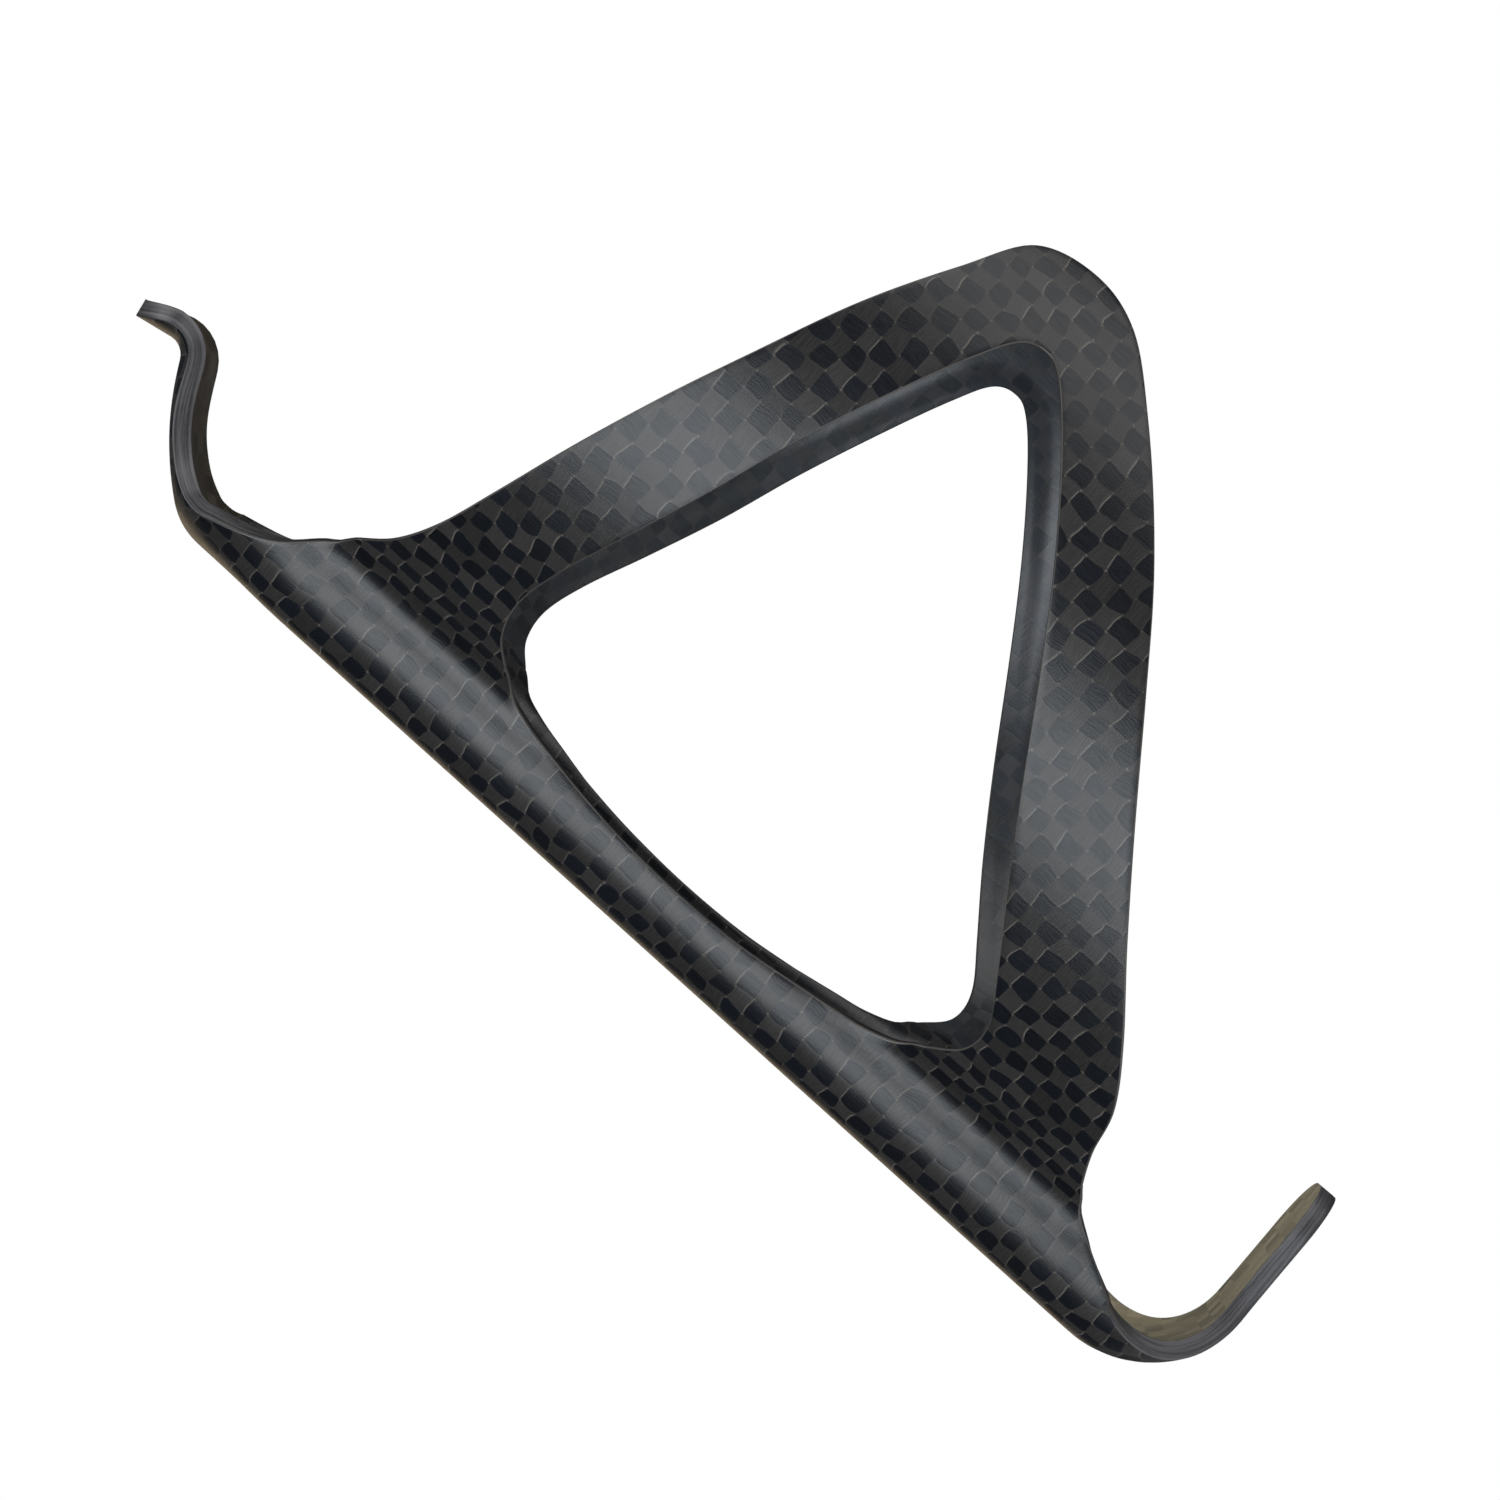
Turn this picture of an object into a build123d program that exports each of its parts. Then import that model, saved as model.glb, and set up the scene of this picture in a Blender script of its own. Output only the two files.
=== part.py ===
from build123d import *
import math
import os

# Bottle cage moulded from carbon fibre laminate. Millimetres.
# Z is the bottle axis (up), +Y points from the bike tube to the bottle and X is
# sideways (+X is the left wing). The origin is on the back face, half way
# between the two bolt slots.

# ---- laminate ----
SKIN_T = 0.3          # one woven ply
CORE_T = 1.2          # unidirectional plies between the woven skins
WING_CORE_T = 0.6     # plies drop off at the flexure line, so the wings are thinner
SHEET_T = SKIN_T + CORE_T + SKIN_T
WING_T = SKIN_T + WING_CORE_T + SKIN_T
REACH = 0.5           # layer cutters reach this far past the free surfaces
FLEX_GAP = 0.12       # clearance left at each flexure line


def layer_depths(total):
    """Depth range of each layer below the outer surface of a sheet."""
    return {
        "outer_ply": (0.0, SKIN_T),
        "ud_core": (SKIN_T, total - SKIN_T),
        "inner_ply": (total - SKIN_T, total),
    }


LAYERS = layer_depths(SHEET_T)
WING_LAYERS = layer_depths(WING_T)

# ---- bottle seat ----
AXIS_Y = 45.7         # bottle axis in front of the back face
WING_R = 38.3         # outside radius of the wings

# ---- channel section ----
FLAT_HALF = 6.0       # half width of the flat back
CORNER_R = 6.5        # outside corner between back and side wall
WALL_X = FLAT_HALF + CORNER_R
CREASE_R = 3.5        # outside radius of the crease between wall and wing
CREASE_X = WALL_X + CREASE_R
CREASE_Y = AXIS_Y - math.sqrt((WING_R + CREASE_R) ** 2 - CREASE_X ** 2)
CREASE_ANGLE = math.degrees(math.asin(CREASE_X / (WING_R + CREASE_R)))
WING_FLEX_ANGLE = 27.0    # flexure line of a wing, measured round the bottle axis

# ---- stock the sheets are trimmed from ----
SIDE_DEPTH = 60.0     # outlines are pushed this far through the sheet
STOCK_Z = 120.0
WING_STOCK_ANGLE = 150.0
STOCK_SPARE = 2.0     # untrimmed strips and cutters run past the part by this much

# ---- heights along the bottle axis ----
TONGUE_Z = 55.0       # the tongue starts to lean forward here
FLOOR_Z = -54.2       # the back starts to curl into the bottle stop here

# ---- tongue, followed along its back surface ----
LEAN_R = 7.0          # radius of the bend at the foot of the tongue
LEAN_ANGLE = 38.0     # forward lean above that bend
BOW_R = 32.0          # the tongue then bows gently further forward
BOW_ANGLE = 24.0
CREST_R = 2.0         # back radius under the crest
CURL_ANGLE = 73.0     # turn over the crest
CURL_RUN = 3.95       # straight lip past the crest
TONGUE_FLAT_HALF = 1.5    # flat down the middle of the tongue's dish
TONGUE_DISH_R = 15.0  # outside radius of the dish on both sides of the flat
DISH_HALF = 11.5      # half width of the untrimmed tongue strip

# ---- bottle stop at the foot ----
FLOOR_R = 11.3        # outside radius of the bend into the stop
STOP_TIP_Y = 25.8
STOP_HALF = 6.25
STOP_PLAN_HALF = 6.5  # stock half width the tip is rounded from
STOP_TIP_R = 5.0      # rounded corners of the tip, seen from above
STOP_RISE = 2.0       # degrees the stop rises towards its tip
STOP_STOCK_HALF = 10.4    # half width of the untrimmed stop strip
STOP_CUTTER_BACK = 30.0   # the foot's diagonal cutter starts this far back and up

# ---- bolt slots ----
BOLT_PITCH = 64.0
BOLT_HOLE_R = 2.6     # M5 clearance
BOLT_SLOT = 7.2       # overall slot length along Z


def on_wing(angle, z):
    """Side view position (Y, Z) of a point on the outside of a wing."""
    return (AXIS_Y - WING_R * math.cos(math.radians(angle)), z)


# Outline of a wing in side view. Angles go round the bottle axis from the back.
WING_EDGE_UPPER = [(27.0, 42.6), (35.1, 39.8), (50.3, 36.5), (79.5, 29.9),
                   (105.8, 22.9), (125.0, 16.8), (132.4, 13.2)]
WING_APEX = [(134.3, 9.2)]
WING_EDGE_LOWER = [(132.4, 4.6), (124.5, -1.0), (105.8, -11.7), (79.5, -25.1),
                   (60.0, -35.2), (48.0, -40.7), (36.3, -43.1), (27.0, -45.0)]
WINDOW_UPPER = [(27.0, 25.4), (33.0, 27.3), (40.5, 28.0), (58.4, 24.9),
                (86.0, 18.7), (112.8, 11.6)]
WINDOW_APEX = [(118.5, 7.9)]
WINDOW_LOWER = [(112.8, 3.2), (99.0, -4.1), (72.8, -15.7), (51.0, -24.9),
                (40.0, -28.3), (33.0, -28.5), (27.0, -26.9)]

# Side view (Y, Z) of the channel walls, running on to the wings at both ends.
WALL_TOP = [on_wing(30.0, 41.4), on_wing(25.0, 43.2), (9.8, 44.5), (8.1, 46.2),
            (6.3, 47.9), (4.7, 49.8), (3.6, 51.8), (3.1, 54.0), (3.0, 57.0)]
WALL_BACK = [(-STOCK_SPARE, 57.0), (-STOCK_SPARE, -57.0)]
WALL_FOOT = [(3.5, -57.0), (4.5, -55.0), (5.6, -53.2), (6.6, -51.5), (7.8, -49.6),
             (9.0, -47.7), (10.0, -46.4), on_wing(25.0, -45.3), on_wing(30.0, -44.1)]
WALL_NOTCH = [on_wing(30.0, -27.9), on_wing(25.0, -25.6), (10.2, -23.9), (9.2, -21.9),
              (7.5, -14.0), (6.4, -7.0), (6.2, 0.0), (6.5, 8.0), (7.5, 14.4),
              (9.0, 20.6), (10.1, 22.9), on_wing(25.0, 24.4), on_wing(30.0, 26.4)]
NOTCH_MOUTH = [(14.0, 26.5), (14.0, -27.9)]

# Front view (X, Z) of one side of the tongue, foot to tip.
TONGUE_EDGE = [(11.3, 54.0), (10.8, 56.0), (8.7, 59.6), (7.2, 63.0), (6.6, 66.5),
               (6.5, 70.2), (5.5, 72.3), (3.3, 73.6), (0.0, 74.1)]

# One side of the foot bend seen along the diagonal between back and stop:
# (X, distance along the rising diagonal of the mirrored, upward-built stop).
STOP_EDGE = [(10.2, 36.0), (10.0, 39.0), (9.2, 42.4), (7.9, 46.4), (6.8, 50.2),
             (6.3, 54.2), (STOP_HALF, 62.0), (STOP_HALF, 70.0)]


def closed(edges):
    """Close the last gap of a chain of edges with a straight line."""
    start = edges[0] @ 0
    end = edges[-1] @ 1
    return Wire(edges + [Edge.make_line(end, start)])


def side_prism(*chains):
    """Side view outline, each chain a spline and straight between chains, along +X."""
    edges = []
    for points in chains:
        spline = Edge.make_spline([Vector(0, y, z) for y, z in points])
        if edges:
            edges.append(Edge.make_line(edges[-1] @ 1, spline @ 0))
        edges.append(spline)
    return Solid.extrude(Face(closed(edges)), Vector(SIDE_DEPTH, 0, 0))


def on_circle(radius, angle, cx=0.0, cy=AXIS_Y):
    """Point of a circle in plan; angles go from the back towards +X."""
    turn = math.radians(angle)
    return Vector(cx + radius * math.sin(turn), cy - radius * math.cos(turn), 0)


def arc(radius, first, last, cx=0.0, cy=AXIS_Y):
    points = [on_circle(radius, angle, cx, cy)
              for angle in (first, (first + last) / 2, last)]
    return Edge.make_three_point_arc(*points)


def half_section(inset):
    """Channel, crease and wing root in plan, `inset` inside the outer surface."""
    crease = arc(CREASE_R + inset, -90, CREASE_ANGLE - 180, CREASE_X, CREASE_Y)
    corner = arc(CORNER_R - inset, 0, 90, FLAT_HALF, CORNER_R)
    root_end = WING_FLEX_ANGLE - math.degrees(FLEX_GAP / WING_R)
    root = arc(WING_R - inset, CREASE_ANGLE, root_end)
    flat = Edge.make_line(Vector(0, inset, 0), corner @ 0)
    wall = Edge.make_line(corner @ 1, crease @ 0)
    return [flat, corner, wall, crease, root]


def band(outer_edges, inner_edges):
    """Plan face between two open chains."""
    ends = [Edge.make_line(outer_edges[-1] @ 1, inner_edges[-1] @ 1),
            Edge.make_line(inner_edges[0] @ 0, outer_edges[0] @ 0)]
    return Face(Wire(outer_edges + inner_edges + ends))


def layer_limits(layer, layers, total):
    """Insets of a layer, stretched past the free surfaces of the sheet."""
    near, far = layers[layer]
    if near == 0.0:
        near = -REACH
    if far == total:
        far = total + REACH
    return near, far


def pull(face, height):
    return Solid.extrude(face, Vector(0, 0, height))


def one_solid(shape):
    """The single solid of a boolean result."""
    solids = shape.solids()
    assert len(solids) == 1, "expected one solid, got %d" % len(solids)
    return solids[0]


# ---- wings ----
def wing_sheet():
    """Left wing in full thickness, its edges square to the curved sheet."""
    outline = side_prism([on_wing(*p) for p in WING_EDGE_UPPER + WING_APEX + WING_EDGE_LOWER])
    window = side_prism([on_wing(*p) for p in WINDOW_UPPER + WINDOW_APEX + WINDOW_LOWER])
    start = WING_FLEX_ANGLE + math.degrees(FLEX_GAP / WING_R)
    skin = Face.extrude(arc(WING_R, start, WING_STOCK_ANGLE), Vector(0, 0, STOCK_Z))
    skin = skin.moved(Location((0, 0, -STOCK_Z / 2)))
    trimmed = skin.intersect(outline - window).faces()[0]
    return Solid.thicken(trimmed, WING_T)


def wing_layer(sheet, layer):
    near, far = layer_limits(layer, WING_LAYERS, WING_T)
    ring = band([arc(WING_R - near, 0, WING_STOCK_ANGLE)],
                [arc(WING_R - far, 0, WING_STOCK_ANGLE)])
    ring = pull(ring, STOCK_Z).moved(Location((0, 0, -STOCK_Z / 2)))
    return one_solid(sheet & ring)


# ---- channel ----
def bolt_slots():
    slots = []
    for z in (-BOLT_PITCH / 2, BOLT_PITCH / 2):
        shape = SlotOverall(BOLT_SLOT, 2 * BOLT_HOLE_R, rotation=90)
        plane = Plane(origin=(0, -STOCK_SPARE, z), x_dir=(-1, 0, 0), z_dir=(0, 1, 0))
        slots.append(extrude(plane * shape, SHEET_T + 2 * STOCK_SPARE).solids()[0])
    return slots


def spine_half_sheet():
    """Left half of the channel in full thickness."""
    walls = side_prism(WALL_TOP, WALL_BACK, WALL_FOOT)
    walls = walls - side_prism(WALL_NOTCH, NOTCH_MOUTH)
    length = TONGUE_Z - FLOOR_Z
    pieces = []
    for edge in half_section(0.0):
        skin = Face.extrude(edge, Vector(0, 0, length)).moved(Location((0, 0, FLOOR_Z)))
        for face in skin.intersect(walls).faces():
            pieces.append(Solid.thicken(face, SHEET_T))
    return pieces


def spine_layer(pieces, layer):
    near, far = layer_limits(layer, LAYERS, SHEET_T)
    profile = band(half_section(near), half_section(far))
    stock = pull(profile, STOCK_Z).moved(Location((0, 0, -STOCK_Z / 2)))
    half = Part() + [piece & stock for piece in pieces]
    whole = half + half.mirror(Plane.YZ)
    for slot in bolt_slots():
        whole = whole - slot
    return one_solid(whole)


# ---- tongue and bottle stop, both built upwards along the back surface ----
def dish_section(near, far, flat_half, corner_r, half_width):
    """Plan face of a shallow channel with a flat back and rounded corners."""
    def chain(inset, mirrored):
        radius = corner_r - inset
        turn = math.degrees(math.asin((half_width - flat_half) / radius))
        corner = arc(radius, 0, turn, flat_half, corner_r)
        edges = [Edge.make_line(Vector(0, inset, 0), corner @ 0), corner]
        if mirrored:
            edges = [edge.mirror(Plane.YZ) for edge in edges]
        return edges
    rims = []
    edges = []
    for mirrored in (False, True):
        outer = chain(near, mirrored)
        inner = chain(far, mirrored)
        rims.append(Edge.make_line(outer[-1] @ 1, inner[-1] @ 1))
        edges += outer + inner
    return Face(Wire(edges + rims))


def follow(section, start_z, steps):
    """Carry a plan section along straights and bends of the back surface."""
    y, z, lean = 0.0, start_z, 0.0
    solids = []
    for kind, size, turn in steps:
        heading = (math.sin(math.radians(lean)), math.cos(math.radians(lean)))
        normal = (heading[1], -heading[0])
        plane = Plane(origin=(0, y, z), x_dir=(1, 0, 0), z_dir=(0, *heading))
        face = plane * section
        if kind == "straight":
            solids.append(Solid.extrude(face, Vector(0, *heading) * size))
            y += heading[0] * size
            z += heading[1] * size
            continue
        side = 1 if kind == "forward" else -1
        centre = (y + side * normal[0] * size, z + side * normal[1] * size)
        axis = Axis((0, *centre), (-side, 0, 0))
        solids.append(Solid.revolve(face, turn, axis))
        lean += side * turn
        heading = (math.sin(math.radians(lean)), math.cos(math.radians(lean)))
        normal = (heading[1], -heading[0])
        y = centre[0] - side * normal[0] * size
        z = centre[1] - side * normal[1] * size
    return Part() + solids


def edge_prism(points, plane, depth):
    """Mirror-symmetric outline from one side's points, pushed through the sheet."""
    right = Edge.make_spline([Vector(x, q, 0) for x, q in points])
    left = right.mirror(Plane.YZ)
    edges = [right, left, Edge.make_line(right @ 0, left @ 0)]
    if points[-1][0] > 0:
        edges.append(Edge.make_line(right @ 1, left @ 1))
    face = plane * Face(Wire(edges))
    return Solid.extrude(face, plane.z_dir * depth)


def tongue_layer(layer):
    near, far = LAYERS[layer]
    steps = [("forward", LEAN_R, LEAN_ANGLE), ("forward", BOW_R, BOW_ANGLE),
             ("back", CREST_R, CURL_ANGLE), ("straight", CURL_RUN, 0)]
    section = dish_section(near, far, TONGUE_FLAT_HALF, TONGUE_DISH_R, DISH_HALF)
    strip = follow(section, TONGUE_Z + FLEX_GAP, steps)
    front = Plane(origin=(0, -STOCK_SPARE, 0), x_dir=(1, 0, 0), z_dir=(0, 1, 0))
    flipped = [(x, -z) for x, z in TONGUE_EDGE]
    return one_solid(strip & edge_prism(flipped, front, SIDE_DEPTH))


def stop_layer(layer):
    """Foot bend and bottle stop, turned over to point down at the end."""
    near, far = LAYERS[layer]
    run = STOP_TIP_Y - FLOOR_R + STOCK_SPARE
    steps = [("forward", FLOOR_R, 90 + STOP_RISE), ("straight", run, 0)]
    section = dish_section(near, far, FLAT_HALF, CORNER_R, STOP_STOCK_HALF)
    strip = follow(section, -FLOOR_Z, steps)
    corner = (0, -STOP_CUTTER_BACK, STOP_CUTTER_BACK)
    diagonal = Plane(origin=corner, x_dir=(1, 0, 0), z_dir=(0, 1, -1))
    offsets = [(x, -q) for x, q in STOP_EDGE]
    strip = strip & edge_prism(offsets, diagonal, 2 * SIDE_DEPTH)
    lip = Rectangle(2 * STOP_PLAN_HALF, 2 * STOP_TIP_Y)
    lip = fillet(lip.vertices().sort_by(Axis.Y)[2:], STOP_TIP_R)
    foot = Rectangle(4 * STOP_PLAN_HALF, 2 * (STOP_TIP_Y - 2 * STOP_TIP_R))
    blank = extrude(lip + foot, SIDE_DEPTH).moved(Location((0, 0, -FLOOR_Z - STOCK_SPARE)))
    return one_solid(strip & blank).mirror(Plane.XY)


def all_nodes():
    """Every laminate piece by node name."""
    left_wing = wing_sheet()
    channel = spine_half_sheet()
    nodes = {}
    for layer in LAYERS:
        wing = wing_layer(left_wing, layer)
        nodes["wing_left_" + layer] = wing
        nodes["wing_right_" + layer] = wing.mirror(Plane.YZ)
        nodes["spine_" + layer] = spine_layer(channel, layer)
        nodes["tongue_" + layer] = tongue_layer(layer)
        nodes["bottle_stop_" + layer] = stop_layer(layer)
    return nodes


os.makedirs("parts", exist_ok=True)
for name, shape in all_nodes().items():
    export_step(shape, "parts/" + name + ".step")
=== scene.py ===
import bpy
import math
import numpy as np
from mathutils import Matrix, Vector


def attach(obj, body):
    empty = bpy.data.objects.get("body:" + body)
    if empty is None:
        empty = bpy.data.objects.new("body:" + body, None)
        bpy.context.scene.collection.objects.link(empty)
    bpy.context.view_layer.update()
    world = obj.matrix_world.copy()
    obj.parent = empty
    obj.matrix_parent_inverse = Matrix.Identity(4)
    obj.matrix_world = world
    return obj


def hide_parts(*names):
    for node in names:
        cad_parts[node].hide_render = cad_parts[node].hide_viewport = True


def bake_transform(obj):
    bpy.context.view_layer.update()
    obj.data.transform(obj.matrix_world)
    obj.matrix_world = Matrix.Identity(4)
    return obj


# Carbon fibre bottle cage. Lengths below are millimetres until a mesh is made.
# The sheet is described by developed coordinates: s runs round the section from
# the middle of the back, p runs along the back from the stop's tip to the tongue's.

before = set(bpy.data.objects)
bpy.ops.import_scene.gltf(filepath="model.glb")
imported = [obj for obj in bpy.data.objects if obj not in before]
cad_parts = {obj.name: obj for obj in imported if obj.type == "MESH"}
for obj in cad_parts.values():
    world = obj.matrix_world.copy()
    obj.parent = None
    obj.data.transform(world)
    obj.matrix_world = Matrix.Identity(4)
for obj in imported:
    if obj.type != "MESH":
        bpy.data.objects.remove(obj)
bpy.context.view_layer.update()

MM = 0.001
UV_SPAN = 100.0       # the UV maps hold millimetres divided by this

# ---- sizes shared with the CAD ----
SKIN_T = 0.3
SHEET_T = 1.8
# A layer's two faces: (share of the sheet's thickness, plus a depth in mm).
LAYERS = {
    "outer_ply": ((0.0, 0.0), (0.0, SKIN_T)),
    "ud_core": ((0.0, SKIN_T), (1.0, -SKIN_T)),
    "inner_ply": ((1.0, -SKIN_T), (1.0, 0.0)),
}
AXIS_Y = 45.7
WING_R = 38.3
FLAT_HALF = 6.0
CORNER_R = 6.5
WALL_X = FLAT_HALF + CORNER_R
CREASE_R = 3.5
CREASE_X = WALL_X + CREASE_R
CREASE_Y = AXIS_Y - math.sqrt((WING_R + CREASE_R) ** 2 - CREASE_X ** 2)
CREASE_TURN = math.asin(CREASE_X / (WING_R + CREASE_R))
TONGUE_Z = 55.0
FLOOR_Z = -54.2
LEAN_R = 7.0
LEAN_ANGLE = math.radians(38.0)
BOW_R = 32.0
BOW_ANGLE = math.radians(24.0)
CREST_R = 2.0
CURL_ANGLE = math.radians(73.0)
BOLT_PITCH = 64.0
BOLT_HOLE_R = 2.6
BOLT_SLOT = 7.2
FLOOR_R = 11.3
FLOOR_TURN = math.radians(92.0)

# Stretches of p over which the channel eases into the tongue's dish, the dish
# deepens below the crest, and the foot eases into the flat stop.
TONGUE_EASE = (44.0, 59.0)
CREST_EASE = (65.0, 73.0)
STOP_EASE = (56.0, 72.0)
DISH_FLAT_HALF = 1.5
DISH_R = 19.0
CREST_DISH_R = 9.5

# ---- looks of the sheet's edges ----
WING_T = 1.1          # drawn a little thinner than the CAD's 1.2
RIM_R = 0.14          # the trimmed edges are lightly rounded
RIM_TURNS = (0, 30, 60, 90)
RIM_ROOM = 0.45       # of a narrow row's width, the most that one rim may take
RIM_SHARE = 0.9       # of a thin layer's depth, the most that one rim may take
FEATHER_T = 0.35      # round the window and wings the edges are ground down to this
FEATHER = 3.0         # over this distance from the edge
PLY_FULL_T = 0.8      # where the sheet is thinner than this its plies are thinner too
THIN_LEAD = 1.0       # thinning starts this far before the wall, ends as far before the seam
SEAM_ANGLE = 25.0     # wings meet the channel here, just past the crease
SHARP_ANGLE = math.radians(40.0)

# Developed length round the half section at the end of each run.
S_CORNER = FLAT_HALF
S_WALL = S_CORNER + CORNER_R * math.pi / 2
S_CREASE = S_WALL + CREASE_Y - CORNER_R
S_WING = S_CREASE + CREASE_R * (math.pi / 2 - CREASE_TURN)


def s_on_wing(angle):
    """Developed length where the wing is `angle` degrees round the bottle."""
    return S_WING + WING_R * (math.radians(angle) - CREASE_TURN)


S_SEAM = s_on_wing(SEAM_ANGLE)


def s_at_depth(y):
    """Developed length where the channel's outside is y in front of the back."""
    if y < CORNER_R:
        return S_CORNER + CORNER_R * math.acos(1 - y / CORNER_R)
    if y < CREASE_Y:
        return S_WALL + y - CORNER_R
    turn = math.asin(min(1.0, (y - CREASE_Y) / CREASE_R))
    if turn < math.pi / 2 - CREASE_TURN:
        return S_CREASE + CREASE_R * turn
    return S_WING + WING_R * (math.acos((AXIS_Y - y) / WING_R) - CREASE_TURN)


def channel_point(s):
    """Outside of the half section (x, y) at developed length s."""
    if s < S_CORNER:
        return s, 0.0
    if s < S_WALL:
        turn = (s - S_CORNER) / CORNER_R
        return FLAT_HALF + CORNER_R * math.sin(turn), CORNER_R * (1 - math.cos(turn))
    if s < S_CREASE:
        return WALL_X, CORNER_R + s - S_WALL
    if s < S_WING:
        turn = (s - S_CREASE) / CREASE_R
        return CREASE_X - CREASE_R * math.cos(turn), CREASE_Y + CREASE_R * math.sin(turn)
    angle = CREASE_TURN + (s - S_WING) / WING_R
    return WING_R * math.sin(angle), AXIS_Y - WING_R * math.cos(angle)


def dish_point(s, flat_half, radius):
    """Outside (x, y) of a shallow dish at developed length s."""
    if s < flat_half:
        return s, 0.0
    turn = (s - flat_half) / radius
    return flat_half + radius * math.sin(turn), radius * (1 - math.cos(turn))


def smooth_step(x, low, high):
    """0 below low, 1 above high, smooth between."""
    t = min(1.0, max(0.0, (x - low) / (high - low)))
    return t * t * (3 - 2 * t)


def section_point(s, p):
    """Section (x, forward) at p: channel, easing to a dished tongue and a flat stop."""
    x, y = channel_point(s)
    tongue = smooth_step(p, *TONGUE_EASE)
    if tongue > 0:
        radius = DISH_R + (CREST_DISH_R - DISH_R) * smooth_step(p, *CREST_EASE)
        dx, dy = dish_point(s, DISH_FLAT_HALF, radius)
        x, y = x + (dx - x) * tongue, y + (dy - y) * tongue
    stop = smooth_step(-p, *STOP_EASE)
    if stop > 0:
        x, y = x + (s - x) * stop, y * (1 - stop)
    return x, y


def along_bends(run, bends):
    """Place and lean (y, z, lean) after `run` mm along the signed bends."""
    y, z, lean = 0.0, 0.0, 0.0
    for radius, turn in bends:
        if radius is None:
            step = min(run, turn)
            y += math.sin(lean) * step
            z += math.cos(lean) * step
        else:
            side = 1 if turn > 0 else -1
            step = min(run, radius * abs(turn))
            new = lean + side * step / radius
            y += side * radius * (math.cos(lean) - math.cos(new))
            z += side * radius * (math.sin(new) - math.sin(lean))
            lean = new
        run -= step
        if run <= 0:
            break
    return y, z, lean


# Each bend is (radius, turn); without a radius it is a straight, long enough for any tip.
STRAIGHT_ON = (None, 99.0)
TONGUE_PATH = [(LEAN_R, LEAN_ANGLE), (BOW_R, BOW_ANGLE), (CREST_R, -CURL_ANGLE), STRAIGHT_ON]
FLOOR_PATH = [(FLOOR_R, FLOOR_TURN), STRAIGHT_ON]


def strip_point(s, p):
    """Outside of the channel, tongue and stop at developed position (s, p)."""
    side = 1 if s >= 0 else -1
    x, forward = section_point(abs(s), p)
    if p > TONGUE_Z:
        y, z, lean = along_bends(p - TONGUE_Z, TONGUE_PATH)
        y += math.cos(lean) * forward
        z = TONGUE_Z + z - math.sin(lean) * forward
    elif p < FLOOR_Z:
        y, z, lean = along_bends(FLOOR_Z - p, FLOOR_PATH)
        y += math.cos(lean) * forward
        z = FLOOR_Z - z + math.sin(lean) * forward
    else:
        y, z = forward, p
    return np.array((side * x, y, z))


def wing_point(s, p):
    """Outside of the left wing."""
    angle = CREASE_TURN + (s - S_WING) / WING_R
    return np.array((WING_R * math.sin(angle), AXIS_Y - WING_R * math.cos(angle), p))


def inward(surface, s, p, step=0.02):
    """Unit normal into the sheet, by differences of the surface function."""
    along_s = surface(s + step, p) - surface(s - step, p)
    along_p = surface(s, p + step) - surface(s, p - step)
    normal = np.cross(along_p, along_s)
    return normal / np.linalg.norm(normal)


def curve_through(points, per_span):
    """Catmull-Rom curve through points, as an array of samples."""
    pts = np.array(points, dtype=float)
    pts = np.vstack([2 * pts[0] - pts[1], pts, 2 * pts[-1] - pts[-2]])
    samples = []
    for i in range(1, len(pts) - 2):
        a, b, c, d = pts[i - 1:i + 3]
        for t in np.linspace(0, 1, per_span, endpoint=False):
            samples.append(0.5 * (2 * b + (c - a) * t + (2 * a - 5 * b + 4 * c - d) * t ** 2
                                  + (3 * b - a - 3 * c + d) * t ** 3))
    samples.append(pts[-2])
    return np.array(samples)


# Half width s of the strip against p, from the stop's tip to the tongue's.
STOP_TIP_P = -86.4
TONGUE_TIP_P = 79.5
STOP_HALF = 6.25
STOP_TIP_R = 5.0
TONGUE_TIP_RUN = 3.0  # the tongue's tip is rounded over this length
CURVE_STEPS = 8       # samples from one point of an outline to the next
STOP_WIDTH = [(-81.0, STOP_HALF), (-77.0, STOP_HALF), (-73.5, 6.4), (-70.5, 7.0),
              (-67.5, 8.1), (-64.5, 9.6), (-61.5, 11.2), (-58.8, 12.4), (-57.0, 13.1)]
FOOT_CORNER = [(-57.0, 13.1), (-55.2, s_at_depth(4.3)), (-53.5, s_at_depth(5.3)),
               (-51.7, s_at_depth(6.4)), (-49.8, s_at_depth(7.4)), (-48.0, s_at_depth(8.35)),
               (-46.8, s_at_depth(9.2)), (-45.9, s_on_wing(22.5)), (-45.2, S_SEAM)]
NOTCH = [(-26.0, S_SEAM), (-25.3, s_on_wing(23.3)), (-24.1, s_at_depth(9.5)),
         (-21.3, s_at_depth(8.5)), (-17.8, s_at_depth(7.9)), (-13.0, s_at_depth(7.2)),
         (-7.0, s_at_depth(6.45)), (0.0, s_at_depth(6.2)), (7.0, s_at_depth(6.5)),
         (12.5, s_at_depth(7.1)), (17.0, s_at_depth(7.8)), (20.6, s_at_depth(8.5)),
         (23.2, s_at_depth(9.4)), (24.5, s_on_wing(23.2)), (25.2, S_SEAM)]
HEAD_CORNER = [(42.9, S_SEAM), (43.5, s_on_wing(23.2)), (44.4, s_at_depth(9.4)),
               (45.6, s_at_depth(8.5)), (47.1, s_at_depth(7.2)), (48.6, s_at_depth(5.9)),
               (50.4, s_at_depth(4.8)), (52.3, s_at_depth(3.9)), (54.4, 12.5), (56.6, 11.4)]
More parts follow.
